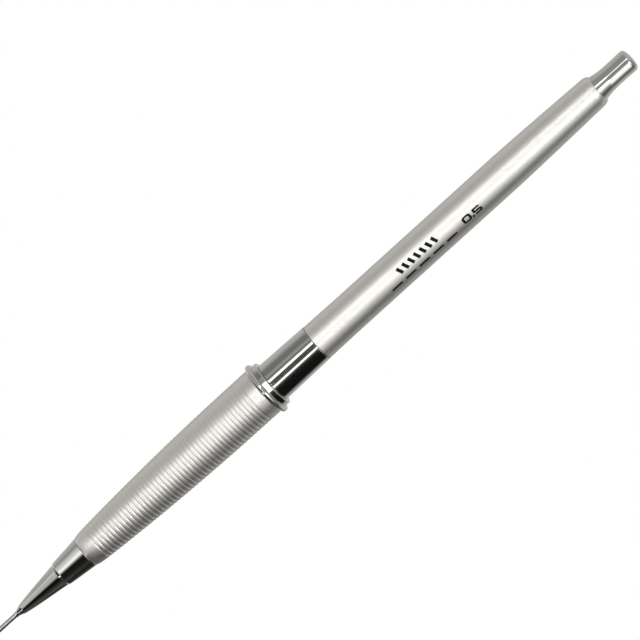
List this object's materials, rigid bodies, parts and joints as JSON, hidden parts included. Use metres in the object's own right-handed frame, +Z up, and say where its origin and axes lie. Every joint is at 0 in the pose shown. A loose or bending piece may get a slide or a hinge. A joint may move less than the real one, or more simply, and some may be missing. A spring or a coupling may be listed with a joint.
{
  "type": "mechanical pencil",
  "caption": "Slim metal mechanical pencil for thin lead, with a grooved grip, chromed cone, bead ring and push button, and its whole clutch inside.",
  "frame": {"origin": "centre of the guide pipe's mouth, on the pencil's axis", "axes": "+X along the pencil's axis from the tip to the push button, +Z up with the pencil lying down"},
  "size_m": [0.146, 0.0102, 0.0102],
  "materials": {
    "grip_aluminium": "satin, fine grooves turned round the grip",
    "barrel_aluminium": "satin, fine blasted",
    "chrome": "polished chrome plate",
    "steel_pipe": "drawn stainless steel",
    "graphite": "graphite lead, slightly shiny",
    "black_rubber": "matt",
    "brass": "turned brass",
    "spring_steel": "drawn wire",
    "white_plastic": "moulded acetal",
    "tube_aluminium": "drawn tube",
    "eraser_rubber": "soft white eraser"
  },
  "bodies": {
    "root": {"grip": "grip_aluminium", "bead_ring": "chrome", "collar": "chrome", "coupling": "chrome", "barrel": "barrel_aluminium", "chuck_sleeve": "brass", "return_spring": "spring_steel"},
    "nose": {"nose_cone": "chrome", "guide_pipe": "steel_pipe", "lead_retainer": "black_rubber"},
    "mechanism": {"chuck_stem": "brass", "tube_adapter": "white_plastic", "lead_tube": "tube_aluminium", "spare_leads": "graphite", "eraser": "eraser_rubber", "pin_holder": "brass", "cleaning_pin": "spring_steel"},
    "button": {"push_button": "chrome"},
    "clutch_ring": {"chuck_ring": "brass"},
    "jaw_1": {"chuck_jaw_1": "brass"},
    "jaw_2": {"chuck_jaw_2": "brass"},
    "jaw_3": {"chuck_jaw_3": "brass"},
    "lead": {"lead": "graphite"}
  },
  "joints": [
    {"name": "knock", "type": "slide", "parent": "root", "child": "mechanism", "axis": [-1, 0, 0], "range_m": [0, 0.0033], "stiffness_N_per_m": 60, "springref_m": -0.004, "deforming": ["return_spring"]},
    {"name": "ring_slide", "type": "slide", "parent": "root", "child": "clutch_ring", "axis": [-1, 0, 0], "range_m": [0, 0.0006]},
    {"name": "nose_unscrew", "type": "slide", "parent": "root", "child": "nose", "axis": [-1, 0, 0], "range_m": [0, 0.016]},
    {"name": "cap_pull", "type": "slide", "parent": "mechanism", "child": "button", "axis": [1, 0, 0], "range_m": [0, 0.014]},
    {"name": "lead_feed", "type": "slide", "parent": "clutch_ring", "child": "lead", "axis": [-1, 0, 0], "range_m": [-0.0006, 0.01]},
    {"name": "jaw_1_open", "type": "hinge", "parent": "mechanism", "child": "jaw_1", "pos_m": [0.027, 0, 0.00063], "axis": [0, 1, 0], "range_deg": [0, 1.82]},
    {"name": "jaw_2_open", "type": "hinge", "parent": "mechanism", "child": "jaw_2", "pos_m": [0.027, -0.00055, -0.00032], "axis": [0, -0.5, 0.866], "range_deg": [0, 1.82]},
    {"name": "jaw_3_open", "type": "hinge", "parent": "mechanism", "child": "jaw_3", "pos_m": [0.027, 0.00055, -0.00032], "axis": [0, -0.5, -0.866], "range_deg": [0, 1.82]}
  ],
  "couplings": [
    {"joint": "ring_slide", "follows": "knock", "ratio": 0.18},
    {"joint": "jaw_1_open", "follows": "knock", "rad_per_m": 9.52},
    {"joint": "jaw_2_open", "follows": "knock", "rad_per_m": 9.52},
    {"joint": "jaw_3_open", "follows": "knock", "rad_per_m": 9.52}
  ]
}
